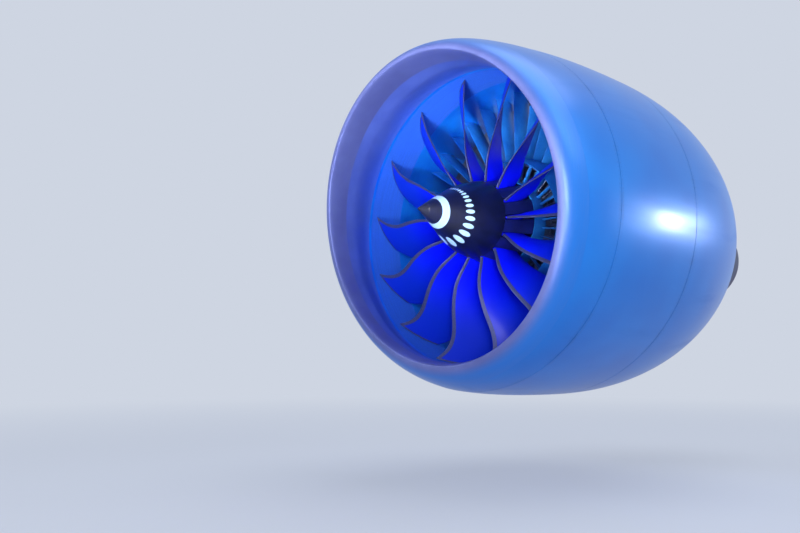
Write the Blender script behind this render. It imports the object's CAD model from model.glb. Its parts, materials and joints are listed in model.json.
"""Looks of the jet engine.

A station is a distance in millimetres along the engine's axis, aft of the fan case's front face.
A clock angle is 0 at the top and grows clockwise, seen from the front. Section profiles are rows
of [radius, station]. Everything is worked out in millimetres and put into the meshes in metres.
"""

import json
import math

import bmesh
import bpy
import numpy as np
from mathutils import Matrix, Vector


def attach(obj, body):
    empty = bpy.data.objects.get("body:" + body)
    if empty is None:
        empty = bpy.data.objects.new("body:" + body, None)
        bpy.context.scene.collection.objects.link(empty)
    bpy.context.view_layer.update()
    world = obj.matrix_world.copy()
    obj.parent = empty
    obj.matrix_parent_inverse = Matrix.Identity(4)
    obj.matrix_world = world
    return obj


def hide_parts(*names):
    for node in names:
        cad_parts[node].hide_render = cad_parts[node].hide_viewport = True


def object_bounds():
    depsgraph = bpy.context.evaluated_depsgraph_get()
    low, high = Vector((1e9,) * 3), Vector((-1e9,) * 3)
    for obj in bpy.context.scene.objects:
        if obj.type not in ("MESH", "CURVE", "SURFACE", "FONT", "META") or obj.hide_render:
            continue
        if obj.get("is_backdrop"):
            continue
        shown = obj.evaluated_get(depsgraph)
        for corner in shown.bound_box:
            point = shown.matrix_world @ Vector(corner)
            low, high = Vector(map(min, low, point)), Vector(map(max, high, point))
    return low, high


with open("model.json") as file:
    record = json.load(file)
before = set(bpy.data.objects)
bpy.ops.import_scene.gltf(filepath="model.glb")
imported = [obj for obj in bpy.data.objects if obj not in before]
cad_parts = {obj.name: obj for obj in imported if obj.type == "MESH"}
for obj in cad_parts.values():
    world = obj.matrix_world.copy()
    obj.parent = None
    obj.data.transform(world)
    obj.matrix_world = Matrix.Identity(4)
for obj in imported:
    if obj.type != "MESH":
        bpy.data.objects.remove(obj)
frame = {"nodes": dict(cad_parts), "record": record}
nodes = frame["nodes"]
cad_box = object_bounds()

# Sizes of the engine, in millimetres
INTAKE_LEN = 698.0
HIGHLIGHT_R = 1757.0
THROAT_R = 1712.0
LIP_DEPTH = 356.0
THROAT_S = LIP_DEPTH - INTAKE_LEN
SCARF = math.tan(math.radians(7.7))
LIP_SEAM_S = -450.0
LIP_SKIN = 8.0
OUTER_SKIN = 14.0
BARREL_WALL = 42.0
CASE_R = 1785.0
FLANGE_H = 56.0
FLANGE_T = 22.0
COWL_R = 2110.0
COWL_MAX_S = 1426.0
NOSE_POWER = 2.35
NOZZLE_S = 3400.0
NOZZLE_R = 1728.0
NOZZLE_EDGE = 12.0
TAIL_POWER = 2.26
SEAM_GAP = 6.0
DOOR_WALL = 34.0
DOOR_SEAM_S = 1470.0
HINGE_X = 300.0
HINGE_GAP = 20.0
PIN_R = 8.0
KNUCKLE_LEN = 90.0
KNUCKLES = (90.0, 500.013, 910.026, 1320.039)  # their middles, along the hinge line
SLOT_HALF_W = 260.0
PLUG_END_S = 6900.0
FRONT_S = -INTAKE_LEN - SCARF * HIGHLIGHT_R
MIDDLE_S = (FRONT_S + PLUG_END_S) / 2
BLADES = 14
FAN_CLOCK = math.radians(-11.26)  # of the first blade's root
FAN_TIP_R = 1778.0
SIDES = ((1, "right"), (-1, "left"))

# Camera, from the photograph's own lines: where it stands, where it looks and its lens
CAMERA_PLACE = (6.02065, -9.79379, -1.71378)
CAMERA_HEADING = 46.57
CAMERA_PITCH = 7.12
LENS_MM = 34.835


def unit(v):
    return v / np.linalg.norm(v, axis=-1, keepdims=True)


# Lines of the nacelle


def cowl_radius(s):
    """Outside of the nacelle: a fuller ellipse up to the greatest radius, then a power curve."""
    s = np.asarray(s, float)
    x = np.clip((s + INTAKE_LEN) / (COWL_MAX_S + INTAKE_LEN), 0, 1)
    nose = HIGHLIGHT_R + (COWL_R - HIGHLIGHT_R) * (1 - (1 - x) ** NOSE_POWER) ** (1 / NOSE_POWER)
    t = np.clip((s - COWL_MAX_S) / (NOZZLE_S - COWL_MAX_S), 0, None)
    return np.where(s <= COWL_MAX_S, nose, COWL_R - (COWL_R - NOZZLE_R) * t**TAIL_POWER)


def intake_radius(s):
    """Inside of the intake: a quarter ellipse to the throat, then a cosine out to the fan case."""
    s = np.asarray(s, float)
    x = np.clip((THROAT_S - s) / LIP_DEPTH, 0, 1)
    lip = HIGHLIGHT_R - (HIGHLIGHT_R - THROAT_R) * np.sqrt(1 - x * x)
    t = np.clip((s - THROAT_S) / -THROAT_S, 0, 1)
    return np.where(s < THROAT_S, lip, THROAT_R + (CASE_R - THROAT_R) * (1 - np.cos(np.pi * t)) / 2)


def put(radius, station, clock):
    """x = r sin c and z = r cos c. Ahead of the fan case the station moves forward by
    tan(scarf) z, times the share of the lean, which grows from 0 at the case to 1 at the lip."""
    radius, station, clock = np.broadcast_arrays(radius, station, clock)
    share = np.clip(-station / INTAKE_LEN, 0, 1)
    x, z = radius * np.sin(clock), radius * np.cos(clock)
    return np.stack([x, station - SCARF * share * z - MIDDLE_S, z], -1) / 1000


def line(radius_of, stations):
    """A profile [radius, station] at these stations."""
    s = np.asarray(stations, float)
    return np.stack([radius_of(s), s], -1)


def spline(x, knots, values):
    """Natural cubic spline: cubics whose slopes and bends agree at the knots, straight at both
    ends. The bends m solve h0 m0 + 2 (h0 + h1) m1 + h1 m2 = 6 (slope1 - slope0) at each knot."""
    knots, values = np.asarray(knots, float), np.asarray(values, float)
    h, n = np.diff(knots), len(knots)
    a, b = np.eye(n), np.zeros((n,) + values.shape[1:])
    k = np.arange(1, n - 1)
    a[k, k - 1], a[k, k], a[k, k + 1] = h[:-1], 2 * (h[:-1] + h[1:]), h[1:]
    slope = np.diff(values, axis=0) / h.reshape((-1,) + (1,) * (values.ndim - 1))
    b[1:-1] = 6 * np.diff(slope, axis=0)
    m = np.linalg.solve(a, b)
    i = np.clip(np.searchsorted(knots, x) - 1, 0, n - 2)
    e = (-1,) + (1,) * (values.ndim - 1)
    w, u, v = h[i].reshape(e), (knots[i + 1] - x).reshape(e), (x - knots[i]).reshape(e)
    return (
        (m[i] * u**3 + m[i + 1] * v**3) / (6 * w)
        + (values[i] / w - m[i] * w / 6) * u
        + (values[i + 1] / w - m[i + 1] * w / 6) * v
    )


def smooth_line(points, count):
    """A profile drawn through its points by splines of the length along it."""
    p = np.asarray(points, float)
    t = np.concatenate([[0], np.cumsum(np.linalg.norm(np.diff(p, axis=0), axis=1))])
    return spline(np.linspace(0, t[-1], count), t, p)


# Meshes. Points within WELD of each other become one, and edges shorter than FLAT_EDGE go, both
# in metres. Edges stay sharp over the angle SHARP, in meshes from the CAD over SHARP_CAD, and a
# bevel rounds those over BEVELLED

WELD, FLAT_EDGE = 2e-5, 1e-6
SHARP, SHARP_CAD, BEVELLED = math.radians(30), math.radians(28), math.radians(50)


def grid_faces(rows, cols, wrap_rows=False, wrap_cols=False):
    """Quads between neighbouring points of a grid, whose index is row * cols + column."""
    r, c = np.meshgrid(
        np.arange(rows if wrap_rows else rows - 1),
        np.arange(cols if wrap_cols else cols - 1),
        indexing="ij",
    )
    r2, c2 = (r + 1) % rows, (c + 1) % cols
    return np.stack([r * cols + c, r * cols + c2, r2 * cols + c2, r2 * cols + c], -1).reshape(-1, 4)


def cap_faces(n):
    """Quads across a ring of n points whose second half runs back beside its first."""
    i = np.arange(n // 2 - 1)
    return np.stack([i, i + 1, n - 2 - i, n - 1 - i], -1)


def closed_tube(rings, n):
    """Quads round a tube of so many rings of n points each, and across its two ends."""
    cap = cap_faces(n)
    return np.concatenate([grid_faces(rings, n, False, True), cap[:, ::-1], cap + (rings - 1) * n])


def copies(faces, count, points):
    """The faces of so many like shapes that follow each other, of so many points each."""
    return np.concatenate([faces + points * i for i in range(count)])


def there_and_back(values):
    """Values along one side of a section, and the same back along its other side."""
    return np.concatenate([values, values[::-1]])


def chord_shares(count):
    """Shares from 0 to 1, closer together at both ends: (1 - cos(pi t)) / 2."""
    return (1 - np.cos(np.pi * np.linspace(0, 1, count))) / 2


def edged(start, end, count):
    """Even stations from start to end, with one more close to each end, beside its round edge."""
    beside = 3
    return np.concatenate([[start], np.linspace(start + beside, end - beside, count), [end]])


def clocked(x, s, z, angle):
    """Points turned round the axis by a clock angle: x' = x cos a + z sin a and
    z' = z cos a - x sin a. They come in millimetres and leave in metres."""
    cos, sin = np.cos(angle), np.sin(angle)
    axes = x * cos + z * sin, s - MIDDLE_S, z * cos - x * sin
    return np.stack(np.broadcast_arrays(*axes), -1) / 1000


def weld(mesh, drop_flat=False):
    """Makes points that lie on each other one, and where asked drops edges of no length."""
    bm = bmesh.new()
    bm.from_mesh(mesh)
    bmesh.ops.remove_doubles(bm, verts=bm.verts, dist=WELD)
    if drop_flat:
        bmesh.ops.dissolve_degenerate(bm, edges=bm.edges, dist=FLAT_EDGE)
    bm.to_mesh(mesh)
    bm.free()


def piece(name, mesh, body, finish, slot, stands_for=(), bevel=0, sharp=SHARP):
    """The object of a finished mesh: smooth between its sharp edges, given its material and put
    on its body. A bevel rounds edges by so many millimetres."""
    mesh.shade_smooth()
    mesh.set_sharp_from_angle(angle=sharp)
    mesh.materials.clear()
    mesh.materials.append(finish)
    made = bpy.data.objects.new(name, mesh)
    bpy.context.scene.collection.objects.link(made)
    if bevel:
        edge = made.modifiers.new("Edges", "BEVEL")
        edge.width, edge.segments, edge.limit_method = bevel / 1000, 2, "ANGLE"
        edge.angle_limit = BEVELLED
    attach(made, body)
    if stands_for:
        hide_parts(*([stands_for] if isinstance(stands_for, str) else stands_for))


def solid(name, points, faces, body, finish, slot, stands_for=(), uv=None, bevel=0):
    """A closed mesh of quads that rides a body. Where the volume that its faces enclose comes out
    negative they are turned round."""
    points = points.reshape(-1, 3)
    p = points[faces]
    cross = np.cross(p[:, 1], p[:, 2]) + np.cross(p[:, 2], p[:, 3])
    if np.einsum("ij,ij->", p[:, 0], cross) < 0:
        faces = faces[:, ::-1]
    mesh = bpy.data.meshes.new(name)
    mesh.from_pydata(points.tolist(), [], faces.tolist())
    if uv is not None:
        corner = np.zeros(len(mesh.loops), np.int32)
        mesh.loops.foreach_get("vertex_index", corner)
        layer = mesh.uv_layers.new(name="UVMap")
        layer.data.foreach_set("uv", uv.reshape(-1, 2)[corner].astype(np.float32).ravel())
    weld(mesh, drop_flat=True)
    piece(name, mesh, body, finish, slot, stands_for, bevel)


def turned(name, section, body, finish, slot, stands_for, sides):
    """A closed section carried right round the axis."""
    section = np.asarray(section, float)
    clock = np.linspace(0, 2 * np.pi, sides, endpoint=False)
    points = put(section[:, :1], section[:, 1:], clock[None, :])
    faces = grid_faces(len(section), sides, True, True)
    solid(name, points, faces, body, finish, slot, stands_for)


def panel(name, outer, inner, x, side, body, finish, slot, stands_for=(), steps=150, bevel=0):
    """A curved sheet between two profiles of as many points each, on the side +1, right, or -1.
    It runs from the plane x, at the clock angle asin(x / r), down to half of the seam's gap short
    of the plane at the bottom, at pi - asin(gap / 2 / r)."""
    section = np.concatenate([outer, inner[::-1]])
    m, n, r = len(section), steps + 1, section[:, :1]
    start, end = np.arcsin(x / r), np.pi - np.arcsin(SEAM_GAP / 2 / r)
    points = put(r, section[:, 1:], side * (start + (end - start) * np.linspace(0, 1, n)))
    sheet, cap = grid_faces(m, n, True, False), cap_faces(m)
    faces = np.concatenate([sheet, cap * n, cap[:, ::-1] * n + n - 1])
    solid(name, points, faces, body, finish, slot, stands_for, bevel=bevel)


def softened(node, body, finish, slot):
    """A welded copy of a CAD node's mesh, smooth between its sharp edges, which stands for it."""
    mesh = nodes[node].data.copy()
    mesh.name = node + "_shell"
    if "custom_normal" in mesh.attributes:
        mesh.attributes.remove(mesh.attributes["custom_normal"])
    weld(mesh)
    piece(node + "_shell", mesh, body, finish, slot, node, sharp=SHARP_CAD)


# Materials


class Number:
    """A number that changes over a surface. Arithmetic on it adds Math nodes."""

    def __init__(self, finish, socket):
        self.finish, self.socket = finish, socket

    def maths(self, operation, *values, clamp=False):
        """A Math node. Its values are all of its inputs, so the number itself is among them."""
        values = [v.socket if isinstance(v, Number) else v for v in values]
        made = self.finish.node(
            "ShaderNodeMath", {"operation": operation, "use_clamp": clamp}, dict(enumerate(values))
        )
        return Number(self.finish, made.outputs[0])

    def __add__(self, other):
        return self.maths("ADD", self, other)

    def __radd__(self, other):
        return self.maths("ADD", other, self)

    def __sub__(self, other):
        return self.maths("SUBTRACT", self, other)

    def __rsub__(self, other):
        return self.maths("SUBTRACT", other, self)

    def __mul__(self, other):
        return self.maths("MULTIPLY", self, other)

    def __rmul__(self, other):
        return self.maths("MULTIPLY", other, self)

    def __truediv__(self, other):
        return self.maths("DIVIDE", self, other)

    def __rtruediv__(self, other):
        return self.maths("DIVIDE", other, self)

    def __pow__(self, other):
        return self.maths("POWER", self, other)

    def __rpow__(self, other):
        return self.maths("POWER", other, self)

    def __abs__(self):
        return self.maths("ABSOLUTE", self)

    def __gt__(self, other):
        return self.maths("GREATER_THAN", self, other)

    def __lt__(self, other):
        return self.maths("LESS_THAN", self, other)

    def clamp(self):
        return self.maths("ADD", self, 0, clamp=True)

    def fract(self):
        """What is left over the whole number below."""
        return self.maths("FRACT", self)

    def step(self, low, high):
        """Rises smoothly from 0 at low to 1 at high."""
        made = self.finish.node(
            "ShaderNodeMapRange",
            {"interpolation_type": "SMOOTHSTEP"},
            {"Value": self.socket, "From Min": low, "From Max": high},
        )
        return Number(self.finish, made.outputs["Result"])

    def near(self, centre, half, soft):
        """1 within half of centre, and 0 past soft more."""
        return 1 - abs(self - centre).step(half, half + soft)


class Finish:
    """A material: its shader's constants are set on the shader's own sockets, and what changes
    over the surface comes through base, rough, metal, coat and bump."""

    def __init__(self, name, **constants):
        self.material = bpy.data.materials.new(name)
        self.material.use_nodes = True
        self.tree = self.material.node_tree
        self.shader = next(n for n in self.tree.nodes if n.type == "BSDF_PRINCIPLED")
        for socket, value in constants.items():
            self.shader.inputs[socket.replace("_", " ")].default_value = value
        self.kept = {}

    def feed(self, node, inputs):
        """Links or sets a node's inputs. None leaves one as it is."""
        for name, value in inputs.items():
            value = value.socket if isinstance(value, Number) else value
            if isinstance(value, bpy.types.NodeSocket):
                self.tree.links.new(value, node.inputs[name])
            elif value is not None:
                node.inputs[name].default_value = value

    def node(self, kind, settings={}, inputs={}):
        made = self.tree.nodes.new(kind)
        for name, value in settings.items():
            setattr(made, name, value)
        self.feed(made, inputs)
        return made

    def keep(self, key, make):
        """What is made once for the material and used again."""
        if key not in self.kept:
            self.kept[key] = make()
        return self.kept[key]

    def place(self):
        """Object coordinates, which are metres in the engine's frame."""
        return self.keep("place", lambda: self.node("ShaderNodeTexCoord").outputs["Object"])

    def axes(self):
        def make():
            parts = self.node("ShaderNodeSeparateXYZ", {}, {0: self.place()})
            return [Number(self, parts.outputs[i]) for i in range(3)]

        return self.keep("axes", make)

    def polar(self):
        """Station in millimetres, clock angle from -180 to 180 degrees, radius in metres."""

        def make():
            x, y, z = self.axes()
            clock = x.maths("ARCTAN2", x, z) * (180 / math.pi)
            return y * 1000 + MIDDLE_S, clock, (x * x + z * z) ** 0.5

        return self.keep("polar", make)

    def uv(self):
        where = self.node("ShaderNodeUVMap").outputs[0]
        parts = self.node("ShaderNodeSeparateXYZ", {}, {0: where})
        return Number(self, parts.outputs[0]), Number(self, parts.outputs[1])

    def noise(self, scale, detail=3.0, rough=0.55, stretch=None):
        """Noise of so many waves a metre, from 0 to 1. Stretch gives each axis its own share."""
        where = self.place()
        if stretch is not None:
            inputs = {"Vector": where, "Scale": stretch}
            where = self.node("ShaderNodeMapping", {}, inputs).outputs[0]
        inputs = {"Vector": where, "Scale": scale, "Detail": detail, "Roughness": rough}
        return Number(self, self.node("ShaderNodeTexNoise", {}, inputs).outputs[0])

    def cells(self, scale):
        """The distance to the nearest of points that lie scattered, so many a metre."""
        made = self.node("ShaderNodeTexVoronoi", {}, {"Vector": self.place(), "Scale": scale})
        return Number(self, made.outputs["Distance"])

    def mix(self, share, a, b):
        """A colour between a and b."""
        a, b = ((*c, 1.0) if isinstance(c, tuple) else c for c in (a, b))
        return self.node("ShaderNodeMix", {"data_type": "RGBA"}, {0: share, 6: a, 7: b}).outputs[2]

    def set(self, base, rough, metal=None, coat=None, bump=()):
        """Bump is rows of (height, its depth in metres)."""
        normal = None
        for height, depth in bump:
            inputs = {"Strength": 1.0, "Distance": depth, "Height": height, "Normal": normal}
            normal = self.node("ShaderNodeBump", {}, inputs).outputs[0]
        self.feed(self.shader, {"Base Color": base, "Roughness": rough, "Metallic": metal,
                                "Coat Weight": coat, "Normal": normal})
        return self.material


def rgb(red, green, blue):
    """A screen colour of 0 to 255 as the light values that a shader takes."""
    c = np.array([red, green, blue]) / 255
    return tuple(float(v) for v in np.where(c <= 0.04045, c / 12.92, ((c + 0.055) / 1.055) ** 2.4))


def fastener_heads(f, head_mm, rows):
    """Heads of flush fasteners, round the engine. A row is its station, the angle from one head
    to the next in degrees, and its radius in millimetres."""
    station, clock, _ = f.polar()
    heads = []
    for at, pitch_deg, radius_mm in rows:
        across = ((clock / pitch_deg).fract() - 0.5) * (math.radians(pitch_deg) * radius_mm)
        along = station - at
        away = (across * across + along * along) ** 0.5
        heads.append(1 - away.step(head_mm * 0.42, head_mm * 0.58))
    return sum(heads)


def nacelle_paint():
    """Pearl paint: fine flake, a slow drift of tone, faint flow streaks, flush fasteners beside
    the seams, and grime in the seams."""
    f = Finish("nacelle_pearl_blue", Coat_Roughness=0.18, Coat_IOR=1.5, Specular_IOR_Level=0.4)
    station = f.polar()[0]
    drift = f.noise(0.9, 2.0)
    streak = f.noise(3.0, 4.0, 0.6, (1.0, 0.10, 1.0))
    flake = 1 - f.cells(900.0).step(0.1, 0.5)
    base = f.mix(drift.step(0.3, 0.75), rgb(4, 106, 200), rgb(9, 120, 212))
    base = f.mix(streak.step(0.52, 0.8) * 0.22, base, rgb(6, 78, 164))
    base = f.mix(flake * 0.16, base, rgb(90, 160, 236))
    heads = fastener_heads(f, 9.0, [
        (28.0, 1.25, 2060.0), (-22.0, 1.25, 2050.0), (1448.0, 1.25, 2110.0),
        (1500.0, 1.25, 2108.0), (3330.0, 1.6, 1750.0)])
    base = f.mix(heads.clamp() * 0.30, base, rgb(18, 48, 104))
    front_seam, rear_seam = SEAM_GAP / 2, DOOR_SEAM_S + SEAM_GAP / 2
    grime = station.near(rear_seam, 14.0, 60.0) + station.near(front_seam, 10.0, 50.0)
    base = f.mix((grime * streak.step(0.35, 0.75)).clamp() * 0.20, base, rgb(22, 48, 96))
    rough = 0.30 + 0.08 * drift + 0.08 * streak.step(0.5, 0.8) + 0.10 * heads.clamp()
    return f.set(
        base,
        rough,
        metal=0.18 + 0.20 * flake,
        coat=0.24 - 0.10 * streak.step(0.5, 0.85),
        bump=[(f.noise(1.6, 1.0), 0.0007), (f.noise(240.0, 2.0), 0.00004), (heads, -0.0002)],
    )


def lip_satin():
    """Satin metal: spun lines round the ring, erosion specks along the front, soft stains. Its
    outer side goes over into the nacelle's paint."""
    f = Finish("lip_satin_metal", Coat_Roughness=0.25, Specular_IOR_Level=0.6)
    station, _, radius = f.polar()
    worn_s, clean_s = -900.0, -560.0
    metal_r, paint_r = 1.78, 1.90
    spun = f.noise(1.0, 3.0, 0.6, (2.5, 420.0, 2.5))
    stain = f.noise(1.6, 4.0, 0.6)
    specks = 1 - f.cells(70.0).step(0.02, 0.10)
    front = 1 - station.step(worn_s, clean_s)
    flank = radius.step(metal_r, paint_r)
    eroded = (specks * (0.25 + 0.75 * front) * stain.step(0.45, 0.6)).clamp()
    base = f.mix(stain.step(0.3, 0.72), rgb(88, 98, 162), rgb(100, 112, 178))
    base = f.mix(flank, base, rgb(8, 110, 204))
    base = f.mix(spun.step(0.45, 0.7) * 0.14, base, rgb(118, 130, 188))
    base = f.mix(eroded * 0.35, base, rgb(50, 56, 104))
    return f.set(
        base,
        0.46 + 0.12 * stain + 0.10 * (spun - 0.5) - 0.16 * flank,
        metal=0.45 + 0.15 * spun - 0.20 * flank,
        coat=0.06 + 0.06 * stain + 0.18 * flank,
        bump=[(stain, 0.0010), (spun, 0.00005), (specks * front, -0.00012)],
    )


def barrel_liner():
    """Painted acoustic liner: a fine perforated field, broken by plain splices, between two plain
    bands. It deepens towards the fan."""
    f = Finish("intake_acoustic_liner", Specular_IOR_Level=0.45)
    station, clock, _ = f.polar()
    pitch, liner_r, splices, splice_at = 9.0, 1740.0, 3, 0.25
    field_s, field_half = -215.0, 165.0
    across = (clock * (math.radians(1) * liner_r / pitch)).fract() - 0.5
    along = (station / pitch).fract() - 0.5
    hole = 1 - ((across**2.0 + along**2.0) ** 0.5).step(0.17, 0.25)
    splice = abs((clock / (360.0 / splices) + splice_at).fract() - 0.5).step(0.0022, 0.0030)
    field = station.near(field_s, field_half, 2.0) * splice
    cloud = f.noise(2.4, 4.0, 0.6)
    deep = station.step(-420.0, -60.0)
    base = f.mix(cloud.step(0.3, 0.7), rgb(66, 86, 168), rgb(76, 98, 182))
    base = f.mix(deep * 0.65, base, rgb(52, 94, 208))
    base = f.mix(field * hole * 0.25, base, rgb(30, 42, 110))
    base = f.mix((1 - field) * 0.10, base, rgb(78, 102, 184))
    return f.set(
        base,
        0.42 + 0.12 * cloud,
        metal=0.15 + 0.05 * cloud,
        coat=0.18 + 0.05 * cloud,
        bump=[(cloud, 0.0008), (field * hole, -0.0003)],
    )


def case_finish():
    """Glossy azure case wall, with machining lines and wiped marks."""
    f = Finish("case_gloss_blue", Coat_Roughness=0.12, Specular_IOR_Level=0.5)
    lines = f.noise(1.0, 2.0, 0.5, (1.5, 300.0, 1.5))
    cloud = f.noise(1.8, 4.0, 0.6)
    base = f.mix(cloud.step(0.3, 0.7), rgb(4, 100, 222), rgb(14, 128, 240))
    base = f.mix(lines.step(0.5, 0.7) * 0.25, base, rgb(60, 146, 244))
    return f.set(
        base,
        0.24 + 0.14 * cloud,
        metal=0.30 + 0.10 * lines,
        coat=0.45 + 0.10 * cloud,
        bump=[(cloud, 0.0009), (lines, 0.00005)],
    )


def liner_rubber():
    """Abradable liner: matt, with rub lines left by the blade tips."""
    f = Finish("abradable_liner", Specular_IOR_Level=0.3)
    tips_s, tips_half = 300.0, 190.0
    rub = f.noise(1.0, 4.0, 0.7, (0.8, 160.0, 0.8))
    rubbed = rub.step(0.5, 0.75) * f.polar()[0].near(tips_s, tips_half, 60.0)
    grain = f.noise(160.0, 3.0)
    base = f.mix(grain.step(0.35, 0.7), rgb(30, 84, 196), rgb(44, 104, 216))
    base = f.mix(rubbed * 0.5, base, rgb(14, 34, 104))
    return f.set(base, 0.55 + 0.2 * grain, metal=0.0, bump=[(rub, 0.0002), (grain, 0.00012)])


def blade_blue():
    """Blade: woven composite under satin blue, deepest at the root, and a metal strip along its
    leading edge and its tip, from the fillers' skin outward."""
    f = Finish("blade_deep_blue", Coat_Roughness=0.2, Specular_IOR_Level=0.12)
    chord, span = f.uv()
    weave = f.node(
        "ShaderNodeTexWave",
        {"wave_type": "BANDS", "bands_direction": "DIAGONAL"},
        {"Vector": f.place(), "Scale": 110.0, "Distortion": 0.6, "Detail": 1.0},
    )
    weave = Number(f, weave.outputs["Fac"])
    cloud = f.noise(3.0, 3.0)
    edge_strip = 1 - (chord + 0.006 * (f.noise(2.0, 1.0) - 0.5)).step(0.078, 0.083)
    tip_strip, out_of_skin = span.step(0.988, 0.990), span.step(0.262, 0.266)
    guard = (edge_strip + tip_strip).clamp() * out_of_skin
    scratch = f.noise(1.0, 3.0, 0.7, (60.0, 900.0, 12.0))
    skin = f.mix(cloud.step(0.2, 0.8), rgb(2, 8, 228), rgb(3, 14, 242))
    skin = f.mix(span.step(0.36, 0.85) * 0.8, skin, rgb(5, 44, 172))
    skin = f.mix(weave * 0.12, skin, rgb(14, 48, 226))
    edge = f.mix(scratch.step(0.4, 0.7), rgb(58, 64, 108), rgb(84, 90, 138))
    return f.set(
        f.mix(guard, skin, edge),
        0.40 + 0.10 * cloud + guard * (0.02 + 0.10 * scratch),
        metal=0.02 + guard * 0.50,
        coat=(1 - guard) * 0.06,
        bump=[(cloud, 0.0006), (weave * (1 - guard), 0.00003), (guard, 0.00035)],
    )


def spinner_black():
    """Black spinner with a pale ring and a ring of pale dots. The dots grow round the ring: each
    one's clock angle from the start is a fixed ratio times the last one's. A dot's share of that
    angle gives its length in millimetres, and its half width is a share of its pitch. The front
    ends of the dots lie on one station."""
    f = Finish("spinner_black_gloss", Coat_Roughness=0.10, Specular_IOR_Level=0.5)
    station, clock, radius = f.polar()
    start, first, ratio, none_below = -30.4, 86.4, 1.1213, 34.0
    dots_s, pitch_share, length_mm, half_width = -346.0, 0.1145, 6.75, 0.31
    ring_r, ring_half = 0.165, 0.0215
    turn = ((clock - start) / 360.0).fract() * 360.0
    steps = turn / first
    steps = steps.maths("LOGARITHM", steps, ratio)
    centre = first * ratio ** steps.maths("ROUND", steps)
    pitch = centre * pitch_share
    length = pitch * length_mm
    along = (station - (dots_s + length * 0.5)) / (length * 0.5)
    across = (turn - centre) / (pitch * half_width)
    dots = (1 - (along * along + across * across).step(0.93, 1.07)) * (turn > none_below)
    pale = (dots + radius.near(ring_r, ring_half, 0.0008)).clamp()
    cloud = f.noise(6.0, 4.0)
    wear = f.noise(60.0, 3.0, 0.6, (1.0, 0.3, 1.0))
    black = f.mix(cloud.step(0.3, 0.7), rgb(5, 9, 36), rgb(9, 15, 54))
    paint = f.mix(wear.step(0.55, 0.8) * 0.4, rgb(160, 196, 238), rgb(120, 152, 206))
    return f.set(
        f.mix(pale, black, paint),
        0.30 + 0.10 * cloud + pale * 0.12,
        metal=0.05 * cloud,
        coat=0.35 - 0.15 * pale,
        bump=[(cloud, 0.0004), (wear, 0.00003), (pale, 0.00008)],
    )


def rubber_tip():
    """Dark rubber with nicks, under a thin gloss coat that the nicks break."""
    f = Finish("spinner_tip_rubber", Coat_Roughness=0.12, Specular_IOR_Level=0.35)
    grain = f.noise(260.0, 3.0)
    nick = 1 - f.cells(90.0).step(0.03, 0.12)
    base = f.mix(grain.step(0.3, 0.7), rgb(8, 12, 34), rgb(16, 22, 52))
    return f.set(
        f.mix(nick * 0.5, base, rgb(34, 42, 80)),
        0.42 + 0.15 * grain,
        coat=0.5 - 0.3 * nick,
        bump=[(grain, 0.00012), (nick, -0.0002)],
    )


def plain_metal(name, dark, light, rough, metal, stretch=(2.0, 2.0, 2.0), coat=0.0, grime=None):
    """Machined or cast metal: grain along stretch, cloudy tone, darker where grime gathers."""
    f = Finish(name, Coat_Roughness=0.2, Specular_IOR_Level=0.5)
    grain = f.noise(40.0, 3.0, 0.6, stretch)
    cloud = f.noise(3.5, 4.0, 0.6)
    pit = f.noise(300.0, 2.0)
    base = f.mix(cloud.step(0.3, 0.7), dark, light)
    glint = tuple(min(1.0, v * 1.5 + 0.02) for v in light)
    base = f.mix(grain.step(0.45, 0.75) * 0.25, base, glint)
    if grime:
        base = f.mix((cloud * grain).step(0.28, 0.5) * 0.5, base, grime)
    return f.set(
        base,
        rough + 0.12 * (cloud - 0.5) + 0.10 * (grain - 0.5),
        metal=metal + 0.08 * (grain - 0.5),
        coat=coat + 0.04 * cloud,
        bump=[(cloud, 0.0006), (grain, 0.00006), (pit, 0.00003)],
    )


def hot_alloy():
    """Heat-tinted alloy: steel blue to grey violet to blue along the flow, with soot streaks."""
    f = Finish("hot_section_alloy", Specular_IOR_Level=0.5)
    tint_s = 4700.0
    drift = f.noise(2.2, 4.0, 0.6)
    streak = f.noise(5.0, 4.0, 0.65, (1.0, 0.08, 1.0))
    soot = streak.step(0.5, 0.8)
    heat = ((f.polar()[0] - tint_s) / (PLUG_END_S - tint_s) + (drift - 0.5) * 0.5).clamp()
    base = f.mix(heat.step(0.0, 0.45), rgb(56, 84, 126), rgb(84, 96, 124))
    base = f.mix(heat.step(0.35, 0.7), base, rgb(84, 80, 116))
    base = f.mix(heat.step(0.6, 1.0), base, rgb(54, 76, 132))
    base = f.mix(soot * 0.45, base, rgb(46, 44, 52))
    return f.set(
        base,
        0.34 + 0.22 * drift + 0.10 * streak,
        metal=0.82 - 0.25 * soot,
        bump=[(drift, 0.0012), (streak, 0.0001)],
    )


def core_skin():
    """Core cowl: pale satin skin with fastener rows and a little soot towards the rear."""
    f = Finish("core_cowl_skin", Coat_Roughness=0.2, Specular_IOR_Level=0.5)
    drift = f.noise(1.5, 3.0)
    streak = f.noise(4.0, 4.0, 0.6, (1.0, 0.08, 1.0))
    heads = fastener_heads(f, 10.0, [
        (1430.0, 2.5, 900.0), (2700.0, 2.5, 980.0), (4000.0, 2.5, 918.0), (5040.0, 2.5, 805.0)])
    soot = streak.step(0.48, 0.8) * f.polar()[0].step(2600.0, 5000.0)
    base = f.mix(drift.step(0.3, 0.7), rgb(104, 124, 168), rgb(116, 136, 178))
    base = f.mix(soot * 0.32, base, rgb(66, 74, 98))
    base = f.mix(heads.clamp() * 0.35, base, rgb(54, 62, 88))
    return f.set(
        base,
        0.38 + 0.12 * drift + 0.08 * streak,
        metal=0.35 + 0.08 * drift,
        coat=0.15 + 0.05 * drift,
        bump=[(drift, 0.0012), (heads, -0.00025)],
    )


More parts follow.
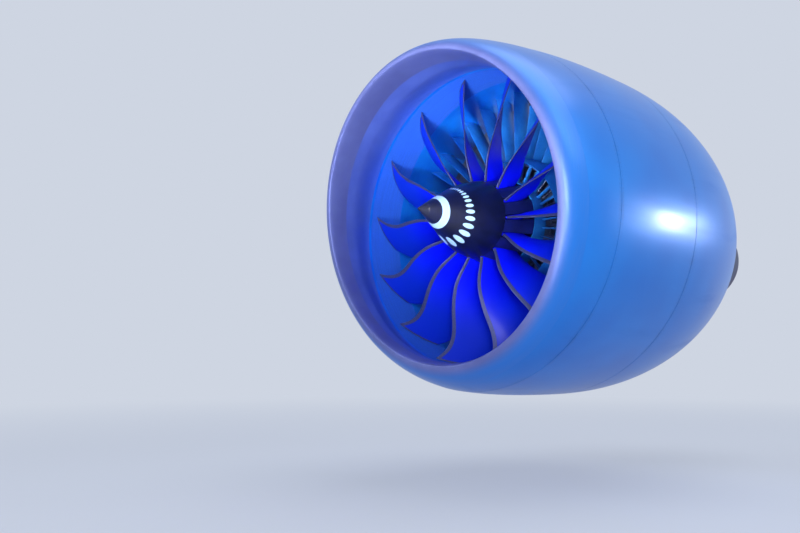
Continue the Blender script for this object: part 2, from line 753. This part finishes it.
NACELLE = nacelle_paint()
LIP = lip_satin()
BARREL = barrel_liner()
CASE = case_finish()
LINER = liner_rubber()
BLADE = blade_blue()
SPINNER = spinner_black()
TIP = rubber_tip()
HOT = hot_alloy()
CORE = core_skin()
FRAME = plain_metal("frame_metal_grey", rgb(84, 98, 134), rgb(110, 126, 166), 0.42, 0.75)
VANE = plain_metal("vane_satin_metal", rgb(20, 104, 196), rgb(40, 134, 218), 0.36, 0.25,
                   stretch=(3.0, 3.0, 0.6), coat=0.2)
STEEL = plain_metal("steel_machined", rgb(112, 118, 134), rgb(150, 156, 172), 0.32, 0.9,
                    stretch=(1.0, 8.0, 8.0), grime=rgb(52, 54, 64))
BRASS = plain_metal("injector_brass", rgb(150, 120, 60), rgb(186, 152, 84), 0.34, 0.85)
TANK = plain_metal("tank_painted_grey", rgb(120, 130, 156), rgb(146, 156, 180), 0.36, 0.15,
                   coat=0.3, grime=rgb(70, 76, 96))
FILLER = plain_metal("filler_dark_composite", rgb(10, 16, 66), rgb(16, 26, 96), 0.34, 0.2,
                     stretch=(6.0, 1.0, 6.0), coat=0.3)

# The nacelle's front. The lip's foremost line is drawn back by BLUNT, which fades out at BLUNT_S,
# to where the solid's own flat sides reach. The two joints are the gaps at the outer skin's ends

BLUNT, BLUNT_S = 1.2, -620.0
LIP_JOINT, CASE_JOINT, BESIDE_JOINT = 0.8, 0.6, 4.0


def eased(start, end, count):
    """Stations from start to end, closer together at the start."""
    t = np.linspace(0, 1, count)
    return start + (end - start) * (1 - np.cos(np.pi / 2 * t))


def inset(profile, w):
    """A profile moved sideways by w, to the left of its direction, with its ends kept in line."""
    d = unit(np.gradient(profile, axis=0))
    q = profile + w * np.stack([d[:, 1], -d[:, 0]], -1)
    q[[0, -1], 1] = profile[[0, -1], 1]
    return q


front = eased(-INTAKE_LEN, LIP_SEAM_S, 40)
lip_line = np.concatenate([line(cowl_radius, front[::-1]), line(intake_radius, front[1:])])
foremost = np.clip((BLUNT_S - lip_line[:, 1]) / (BLUNT_S + INTAKE_LEN), 0, 1)
lip_line[:, 1] += BLUNT * foremost**2
turned("lip_ring", np.concatenate([lip_line, inset(lip_line, LIP_SKIN)[::-1]]),
       "engine_static", LIP, "lip_satin", "inlet_lip", sides=360)

skin_s = np.linspace(LIP_SEAM_S + BESIDE_JOINT, -BESIDE_JOINT, 30)
skin = line(cowl_radius, np.concatenate([[LIP_SEAM_S + LIP_JOINT], skin_s, [-CASE_JOINT]]))
turned("intake_skin", np.concatenate([skin, (skin - [OUTER_SKIN, 0])[::-1]]),
       "engine_static", NACELLE, "nacelle_paint", "inlet_outer_skin", sides=360)

barrel = line(intake_radius, np.linspace(LIP_SEAM_S, 0, 40))
barrel_back = line(intake_radius, np.linspace(-FLANGE_T, LIP_SEAM_S, 30)) + [BARREL_WALL, 0]
flange = np.array([[CASE_R + FLANGE_H, 0.0], [CASE_R + FLANGE_H, -FLANGE_T]])
turned("intake_barrel", np.concatenate([barrel, flange, barrel_back]),
       "engine_static", BARREL, "lip_satin", "inlet_inner_barrel", sides=360)

# Fan cowl doors, with the knuckles that turn on the beam's pins


def hinge_height(s):
    """The pin's height at a station, two pin radii under the cowl: sqrt(r r - x x) - 2 pin."""
    return math.sqrt(cowl_radius(s) ** 2 - HINGE_X**2) - 2 * PIN_R


door_outer = line(cowl_radius, edged(SEAM_GAP, DOOR_SEAM_S, 70))
hinge_front_z = hinge_height(SEAM_GAP)
hinge_slope = math.atan2(hinge_height(DOOR_SEAM_S) - hinge_front_z, DOOR_SEAM_S - SEAM_GAP)


def on_hinge(points, side):
    """From the hinge line's own axes, y along the pin, to the engine's frame, in metres."""
    x, y, z = np.moveaxis(points, -1, 0)
    c, s = math.cos(hinge_slope), math.sin(hinge_slope)
    station, height = y * c - z * s + SEAM_GAP, y * s + z * c + hinge_front_z
    return np.stack([side * (x + HINGE_X), station - MIDDLE_S, height], -1) / 1000


def knuckles(name, side, body):
    """Four bored barrels. Outline: round the pin for two thirds of a turn, then round a flat tab
    that reaches into the door. The bore has as many points, from the same side of the pin."""
    n, wall, play = 40, 6, 0.3
    tab = np.array([[22, 6], [34, 6], [46, 6], [46, 0], [46, -8], [46, -14], [30, -14], [14, -14]])
    a = np.linspace(-0.5 * np.pi, -1.86 * np.pi, n - len(tab))
    outline = np.concatenate([(PIN_R + wall) * np.stack([np.cos(a), np.sin(a)], -1), tab])
    bore = np.linspace(-0.5 * np.pi, -2.5 * np.pi, n, endpoint=False)
    hole = (PIN_R + play) * np.stack([np.cos(bore), np.sin(bore)], -1)
    x, z = np.moveaxis(np.stack([outline, outline, hole, hole]), -1, 0)
    ends = KNUCKLE_LEN * np.array([-0.5, 0.5, 0.5, -0.5])[:, None]
    rings = [np.stack(np.broadcast_arrays(x, at + ends, z), -1) for at in KNUCKLES]
    faces = copies(grid_faces(4, n, True, True), len(KNUCKLES), 4 * n)
    solid(name, on_hinge(np.stack(rings), side), faces, body, STEEL, "nacelle_paint", bevel=1.5)


for side, word in SIDES:
    panel(f"door_skin_{word}", door_outer, door_outer - [DOOR_WALL, 0], HINGE_X + HINGE_GAP, side,
          f"door_{word}", NACELLE, "nacelle_paint", f"fan_cowl_{word}", bevel=1.2)
    knuckles(f"door_knuckles_{word}", side, f"door_{word}")

# Bypass duct halves: outer skin, duct wall and the wall beside the pylon

DUCT_S = DOOR_SEAM_S + SEAM_GAP
WALL_S, WALL_END_S = DUCT_S + 30.3, 3180.0
DUCT_SKIN, WALL_DEPTH, WALL_TAPER, PLATE = 26.0, 44.0, 20.0, 14.0
PYLON_WALL_END_S = NOZZLE_S - 60.0
CORE_S, CORE_END_S, CORE_SKIN, CORE_LAP = 1404.0, 5066.0, 16.0, 30.0
CORE_POINTS = np.array([
    [868, 1330], [925, 1500], [968, 1800], [985, 2200], [981, 2700], [958, 3400], [918, 4000],
    [868, 4500], [800, CORE_END_S]])

wall_line = smooth_line([
    [CASE_R, WALL_S], [CASE_R, 1700], [CASE_R, 1900], [CASE_R - 8, 2300], [CASE_R - 26, 2800],
    [CASE_R - 50, WALL_END_S], [NOZZLE_R - NOZZLE_EDGE, NOZZLE_S]], 60)


def wall_radius(s):
    """Inside of the bypass duct."""
    return np.interp(s, wall_line[:, 1], wall_line[:, 0])


def core_radius(s):
    """Outside of the core cowl."""
    return spline(s, CORE_POINTS[:, 1], CORE_POINTS[:, 0])


def pylon_wall(name, side):
    """A flat plate beside the pylon's slot, its lower edge on the core cowl, its upper one on the
    duct wall: z = sqrt(r r - x x) at both, short of each by a hair."""
    off_core, off_wall = 1.5, 0.5
    s, t = np.linspace(WALL_S, PYLON_WALL_END_S, 60), np.linspace(0, 1, 12)
    x = np.array([SLOT_HALF_W, SLOT_HALF_W + PLATE])[:, None]
    low = np.sqrt((core_radius(s) + off_core) ** 2 - x**2)[..., None]
    high = np.sqrt((wall_radius(s) - off_wall) ** 2 - x**2)[..., None]
    axes = side * x[..., None], s[:, None] - MIDDLE_S, low + (high - low) * t
    k, m = len(s), len(t)
    n, sheet = k * m, grid_faces(k, m)
    a, b = np.arange(k - 1) * m, np.arange(m - 1)
    c, d = a + m - 1, b + n - m
    edges = ((a, a + n, a + m + n, a + m), (c, c + m, c + m + n, c + n),
             (b, b + 1, b + 1 + n, b + n), (d, d + n, d + 1 + n, d + 1))
    faces = np.concatenate([sheet[:, ::-1], sheet + n, *(np.stack(e, -1) for e in edges)])
    solid(name, np.stack(np.broadcast_arrays(*axes), -1) / 1000, faces,
          "engine_static", FRAME, "nacelle_paint", bevel=1.5)


duct_s = edged(DUCT_S, NOZZLE_S, 80)
duct_back = np.where(duct_s < WALL_END_S, cowl_radius(duct_s) - DUCT_SKIN, wall_radius(duct_s))
wall_inner = line(wall_radius, np.linspace(WALL_S, WALL_END_S, 50))
wall_outer = wall_inner + [WALL_DEPTH, 0]
wall_outer[:, 0] -= WALL_TAPER * ((wall_inner[:, 1] - WALL_S) / (WALL_END_S - WALL_S)) ** 2
closing = np.array([[cowl_radius(WALL_S) - DUCT_SKIN, WALL_S], [CASE_R + WALL_DEPTH, WALL_S]])
for side, word in SIDES:
    panel(f"duct_skin_{word}", line(cowl_radius, duct_s), np.stack([duct_back, duct_s], -1),
          SLOT_HALF_W, side, "engine_static", NACELLE, "nacelle_paint", f"duct_{word}",
          steps=190, bevel=1.2)
    panel(f"duct_wall_{word}", wall_outer, wall_inner, SLOT_HALF_W, side,
          "engine_static", CORE, "nacelle_paint", steps=120)
    panel(f"duct_front_wall_{word}", closing, closing + [0, PLATE], SLOT_HALF_W, side,
          "engine_static", FRAME, "nacelle_paint", steps=90)
    pylon_wall(f"duct_pylon_wall_{word}", side)

# Core cowl, core nozzle and exhaust plug

core_outer = line(core_radius, np.linspace(CORE_S, CORE_END_S, 70))
for side, word in SIDES:
    panel(f"core_skin_{word}", core_outer, core_outer - [CORE_SKIN, 0], SLOT_HALF_W - CORE_LAP,
          side, "engine_static", CORE, "core_skin", f"core_cowl_{word}", steps=110, bevel=2.0)

nozzle = np.concatenate([
    smooth_line([[797, 5080], [792, 5260], [756, 5560], [706, 5790], [656, 5980]], 40),
    smooth_line([[650, 5980], [692, 5790], [706, 5540], [718, 5200], [694, 5000], [646, 4830]], 44),
    [[640, 4800], [690, 4800], [690, 4822]],
    smooth_line([[662, 4830], [708, 5000], [732, 5200], [722, 5540]], 22),
    smooth_line([[744, 5540], [778, 5240], [782, 5080]], 14)])
turned("nozzle_shroud", nozzle, "engine_static", HOT, "hot_alloy", "core_nozzle", sides=240)

PLUG_SKIN, PLUG_POINT = 12.0, 14.0
plug = smooth_line([[430, 4800], [486, 4980], [510, 5200], [504, 5460], [478, 5720], [430, 5980],
                    [342, 6280], [214, 6600], [36, 6899]], 90)
turned("plug_skin",
       np.concatenate([plug, [[0, PLUG_END_S - 0.5], [0, PLUG_END_S - PLUG_POINT]],
                       (plug[4:-3] - [PLUG_SKIN, 0])[::-1], [[404, 4812], [404, 4800]]]),
       "engine_static", HOT, "hot_alloy", "exhaust_plug", sides=192)

# Spinner and its rubber tip. At their joint both edges drop a little, so that the seam shows

TIP_S, JOINT_S, CONE_S, CONE_R, HUB_S, HUB_R = -847.0, -727.0, -291.0, 309.0, 132.0, 462.0
SPINNER_WALL, SPINNER_DROP, RUBBER_DROP, SEAT_STEP = 14.0, 1.2, 1.4, 18.0
NOSE_R, NOSE_LEN = 3.6, 5.0
slope = CONE_R / (CONE_S - TIP_S)


def spinner_radius(s):
    """A straight cone, then a parabola that starts at its slope and flattens to the hub."""
    u = np.clip((s - CONE_S) / (HUB_S - CONE_S), 0, 1)
    run = slope * (HUB_S - CONE_S)
    bowl = CONE_R + run * u + (HUB_R - CONE_R - run) * u * u
    return np.where(s <= CONE_S, slope * (s - TIP_S), bowl)


cone = line(spinner_radius, np.concatenate([[JOINT_S], np.linspace(JOINT_S + 2, HUB_S, 70)]))
cone[0, 0] -= SPINNER_DROP
hub_flange = [[379, 132], [379, 136], [335, 136], [335, 120], [436, 120]]
turned("spinner_shell",
       np.concatenate([cone, hub_flange, (cone[8:-2] - [SPINNER_WALL, 0])[::-1]]),
       "low_spool", SPINNER, "spinner_black", "spinner", sides=256)

nose_start, nose_end = TIP_S + 6, JOINT_S - 1
nose_s = nose_start + np.linspace(0, 1, 30) ** 1.3 * (nose_end - nose_start)
bend = np.linspace(0, np.pi / 2 - slope * 0.9, 8, endpoint=False)
cap = np.stack([NOSE_R * np.sin(bend), TIP_S + 1 + NOSE_LEN * (1 - np.cos(bend))], -1)
joint_r, seam_s, seat_s = slope * (JOINT_S - TIP_S), JOINT_S - 0.3, JOINT_S + 30
seat_r = joint_r - SEAT_STEP
seat = [[joint_r - RUBBER_DROP, seam_s], [seat_r, seam_s], [seat_r, seat_s], [0, seat_s]]
turned("spinner_tip_rubber", np.concatenate([cap, line(spinner_radius, nose_s), seat]),
       "low_spool", TIP, "spinner_black", "spinner_tip", sides=128)

# Fan blades: radius as a share of the tip's, station of the leading edge, its clock angle from
# the root's, the stagger, the chord, the thickness and the camber as a share of the chord

DESIGN = np.array([
    [0.260, 146, 3.1, 8.5, 356, 58, 0], [0.315, 118, 3.7, 9.5, 385, 50, 0.010],
    [0.37, 88, 4.7, 12, 430, 44, 0.05], [0.45, 62, 5.3, 19, 460, 34, 0.05],
    [0.55, 73, 5.1, 27, 500, 27, 0.05], [0.65, 108, 4.4, 34, 545, 21, 0.05],
    [0.75, 155, 3.5, 39, 575, 17, 0.05], [0.85, 180, 3.5, 43, 590, 14, 0.05],
    [0.93, 165, 4.8, 46, 580, 12, 0.05], [1.00, 118, 7.2, 49, 555, 11, 0.05]])
ROOT_STAGGER, ROOT_LEN, ROOT_MID_S = math.radians(8), 352.0, 324.0
ROOT_RADII, ROOT_WIDTHS = np.array([307, 325, 355, 395.0]), np.array([90, 90, 50, 50.0])
NOSE_SHARE, TAIL_SHARE = 0.012, 0.010


def blade_grid():
    """Points of one blade, ring by ring. A ring runs along one side from the leading edge to the
    trailing edge and back along the other. Off the chord line by the camber, 4 c u (1 - u), and
    by half the thickness, whose law rises as a root and falls as a cosine, with a quarter circle
    at the nose and at the tail. Below the fillers' skin the rings are the dovetail's and the
    neck's, straight along the slot."""
    u = chord_shares(26)
    fall = 0.08 + 0.42 * np.cos(np.pi / 2 * np.clip((u - 0.4) / 0.6, 0, 1))
    half = np.where(u < 0.4, 0.10 + 0.40 * np.sqrt(u / 0.4), fall)
    half = half * np.sqrt(1 - (1 - np.clip(u / NOSE_SHARE, 0, 1)) ** 2)
    half = half * np.sqrt(1 - (1 - np.clip((1 - u) / TAIL_SHARE, 0, 1)) ** 2)
    side = np.repeat([1.0, -1.0], len(u))
    u, half = there_and_back(u), there_and_back(half)

    share = np.linspace(DESIGN[0, 0], 1, 68)
    row = spline(share, DESIGN[:, 0], DESIGN[:, 1:])[:, None, :]
    lead_s, lead_c, stagger, chord, thick, camber = np.moveaxis(row, -1, 0)
    stagger = np.radians(stagger)
    off = side * thick * half - camber * chord * 4 * u * (1 - u)
    y = u * chord * np.cos(stagger) + off * np.sin(stagger)
    x = off * np.cos(stagger) - u * chord * np.sin(stagger)
    r = share[:, None] * FAN_TIP_R
    clock = np.radians(lead_c) + x / r
    air = np.stack([r * np.sin(clock), lead_s + y, r * np.cos(clock)], -1)

    c, s = math.cos(ROOT_STAGGER), math.sin(ROOT_STAGGER)
    y, x = (u - 0.5) * ROOT_LEN, side * ROOT_WIDTHS[:, None] / 2
    axes = x * c - y * s, ROOT_MID_S + x * s + y * c, ROOT_RADII[:, None]
    root = np.stack(np.broadcast_arrays(*axes), -1)
    level = np.concatenate([ROOT_RADII / FAN_TIP_R, share])
    uv = np.stack(np.broadcast_arrays(u[None], level[:, None]), -1)
    return np.concatenate([root, air]), uv


rings, blade_uv = blade_grid()
blade_faces = closed_tube(*rings.shape[:2])
for k in range(BLADES):
    points = clocked(*np.moveaxis(rings, -1, 0), FAN_CLOCK + k * 2 * np.pi / BLADES)
    solid(f"blade_{k + 1:02d}_aerofoil", points, blade_faces, "low_spool", BLADE, "blade_blue",
          f"fan_blade_{k + 1:02d}", uv=blade_uv)

# Outlet guide vanes

GUIDE_VANES, GUIDE_CHORD, GUIDE_MID_S, FOOT_R = 38, 330.0, 1080.0, 868.3
GUIDE_HALF, GUIDE_EDGE, GUIDE_BOW = 12.0, 0.6, 26.0


def guide_vanes():
    """Each vane's section bows by 4 b u (1 - u), and is a root of a sine thick, blunted at its
    edges by a fourth root. It stands from the frame's hub to the case, and the row is copied
    round by its clock angles."""
    u = chord_shares(22)
    swell, bow = np.sin(np.pi * u), GUIDE_BOW * 4 * u * (1 - u)
    half = GUIDE_HALF * np.sqrt(swell) + GUIDE_EDGE * swell**0.25
    x = np.concatenate([bow + half, (bow - half)[::-1]])
    y = (there_and_back(u) - 0.5) * GUIDE_CHORD + GUIDE_MID_S
    x, y, z = np.broadcast_arrays(x, y, np.linspace(FOOT_R, CASE_R - 1.0, 8)[:, None])
    clock = (np.arange(GUIDE_VANES) * 2 * np.pi / GUIDE_VANES)[:, None, None]
    faces = copies(closed_tube(*z.shape), GUIDE_VANES, z.size)
    solid("guide_vane_row", clocked(x, y, z, clock), faces,
          "engine_static", VANE, "vane_metal", "outlet_guide_vanes")


guide_vanes()

# CAD nodes whose shape stays. Of those in the spinner's slot only the fillers are seen

BY_SLOT = {
    "lip_satin": LIP, "nacelle_paint": NACELLE, "frame_metal": FRAME, "case_finish": CASE,
    "liner_rubber": LINER, "vane_metal": VANE, "steel": STEEL, "hot_alloy": HOT,
    "injector_brass": BRASS, "core_skin": CORE, "tank_finish": TANK, "spinner_black": FILLER,
    "blade_blue": BLADE,
}
slots = {row["node"]: row["material_slot"] for row in frame["record"]["subparts"]}
for node in ("fan_case", "fan_track_liner", "flow_splitter", "core_inlet_vanes", "annulus_fillers",
             "cowl_hinge_beam", "turbine_rear_frame", "starter_generator", "fuel_pump", "fan_frame",
             "duct_front_ring", "rear_mount"):
    body = "low_spool" if node == "annulus_fillers" else "engine_static"
    softened(node, body, BY_SLOT[slots[node]], slots[node])
for node, slot in slots.items():
    materials = nodes[node].data.materials
    materials.clear()
    materials.append(BY_SLOT[slot])

# Floor, light and camera

BACKDROP = rgb(206, 213, 226)
SOFT_LIGHT, SOFT_STRENGTH = (0.80, 0.86, 1.0), 0.55
FLOOR_HALF, FLOOR_Z = 80.0, -3.2
OWN_COLOUR = 0.45


def stage_paper(name, colour):
    """Matt paper. Part of what the camera and the gloss of the engine see of it is its own colour,
    and far off all of it, so that it stays pale and meets the backdrop without a line."""
    f = Finish(name, Roughness=0.9, Specular_IOR_Level=0.1)
    x, y, _ = f.axes()
    grain = f.noise(6.0, 3.0)
    paper = f.mix(grain * 0.5, colour, tuple(v * 0.98 for v in colour))
    material = f.set(paper, 0.88 + 0.04 * grain)
    glow = f.node("ShaderNodeEmission", {}, {"Color": (*colour, 1.0), "Strength": 1.0})
    path = f.node("ShaderNodeLightPath")
    far = ((x * x + y * y) ** 0.5).step(6.0, 26.0)
    seen = Number(f, path.outputs["Is Camera Ray"]) + Number(f, path.outputs["Is Glossy Ray"])
    seen = (seen + Number(f, path.outputs["Is Transmission Ray"])).clamp()
    share = seen * (OWN_COLOUR + (1 - OWN_COLOUR) * far)
    inputs = {0: share, 1: f.shader.outputs[0], 2: glow.outputs[0]}
    mixed = f.node("ShaderNodeMixShader", {}, inputs)
    output = next(n for n in f.tree.nodes if n.type == "OUTPUT_MATERIAL")
    f.tree.links.new(mixed.outputs[0], output.inputs["Surface"])
    return material


mesh = bpy.data.meshes.new("floor")
square = ((-1, -1), (1, -1), (1, 1), (-1, 1))
corners = [(x * FLOOR_HALF, y * FLOOR_HALF, FLOOR_Z) for x, y in square]
mesh.from_pydata(corners, [], [(0, 1, 2, 3)])
mesh.materials.append(stage_paper("floor_paper", BACKDROP))
floor = bpy.data.objects.new("floor", mesh)
bpy.context.scene.collection.objects.link(floor)
floor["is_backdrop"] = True

# The world is the backdrop to the rays that can see it, and a soft light to all others
world = bpy.context.scene.world or bpy.data.worlds.new("studio")
bpy.context.scene.world = world
world.use_nodes = True
tree = world.node_tree
tree.nodes.clear()
kinds = "OutputWorld", "MixShader", "Background", "Background", "LightPath"
out, mixed, soft, seen, path = (tree.nodes.new("ShaderNode" + kind) for kind in kinds)
for node, colour, strength in ((soft, SOFT_LIGHT, SOFT_STRENGTH), (seen, BACKDROP, 1.0)):
    node.inputs["Color"].default_value = (*colour, 1.0)
    node.inputs["Strength"].default_value = strength
direct = path.outputs["Is Camera Ray"]
for ray in ("Is Glossy Ray", "Is Transmission Ray"):
    added = tree.nodes.new("ShaderNodeMath")
    added.operation, added.use_clamp = "ADD", True
    tree.links.new(direct, added.inputs[0])
    tree.links.new(path.outputs[ray], added.inputs[1])
    direct = added.outputs[0]
tree.links.new(direct, mixed.inputs[0])
tree.links.new(soft.outputs[0], mixed.inputs[1])
tree.links.new(seen.outputs[0], mixed.inputs[2])
tree.links.new(mixed.outputs[0], out.inputs["Surface"])


def facing(place, back):
    """The matrix of a lamp or camera at place. Its z axis is back, the way it turns its back to,
    and its x axis is level."""
    side = unit(np.cross([0, 0, 1.0], back))
    axes = np.stack([side, np.cross(back, side), back], -1)
    return Matrix([[*row, p] for row, p in zip(axes, place)] + [[0, 0, 0, 1]])


def lamp(name, place, aim, size, power, spread_deg):
    """A round soft box at place that faces aim, and sends its light no wider than its spread. The
    camera doesn't see it."""
    data = bpy.data.lights.new(name, "AREA")
    data.shape, data.size = "DISK", size
    data.energy, data.spread = power, math.radians(spread_deg)
    made = bpy.data.objects.new(name, data)
    made.matrix_world = facing(place, unit(np.array(place) - np.array(aim)))
    made.visible_camera = False
    bpy.context.scene.collection.objects.link(made)


lamp("key", (6.6, 5.2, 0.4), (2.0, -2.0, -0.2), 1.05, 30, 70)
lamp("front", (1.5, -14.0, 1.0), (-0.2, -3.0, 0.4), 6.5, 65, 60)
lamp("beside", (8.6, -11.4, -0.4), (-0.5, -3.0, 0.2), 3.0, 34, 30)
lamp("left", (-8.0, -12.0, 6.0), (0.0, -3.0, 0.4), 6.5, 55, 70)
lamp("right", (13.0, -1.0, 9.0), (0.5, -1.0, 0.5), 9.0, 80, 80)
lamp("inside", (2.5, -9.5, -2.6), (-0.4, -2.4, 1.5), 2.2, 60, 32)
sky = bpy.data.lights.new("sky", "SUN")
sky.energy, sky.angle = 0.95, math.radians(50)
sun = bpy.data.objects.new("sky", sky)
sun.rotation_euler = (math.radians(-14), math.radians(12), 0)
bpy.context.scene.collection.objects.link(sun)

data = bpy.data.cameras.new("camera")
data.lens, data.sensor_width, data.sensor_fit = LENS_MM, 36.0, "HORIZONTAL"
data.clip_end = 500.0
camera = bpy.data.objects.new("camera", data)
heading, pitch = math.radians(CAMERA_HEADING), math.radians(CAMERA_PITCH)
level = math.cos(pitch)
ahead = np.array([-math.sin(heading) * level, math.cos(heading) * level, math.sin(pitch)])
camera.matrix_world = facing(CAMERA_PLACE, -ahead)
bpy.context.scene.collection.objects.link(camera)
bpy.context.scene.camera = camera
bpy.context.scene.view_settings.view_transform = "Standard"

[[list(corner) for corner in box] for box in (cad_box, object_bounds())]
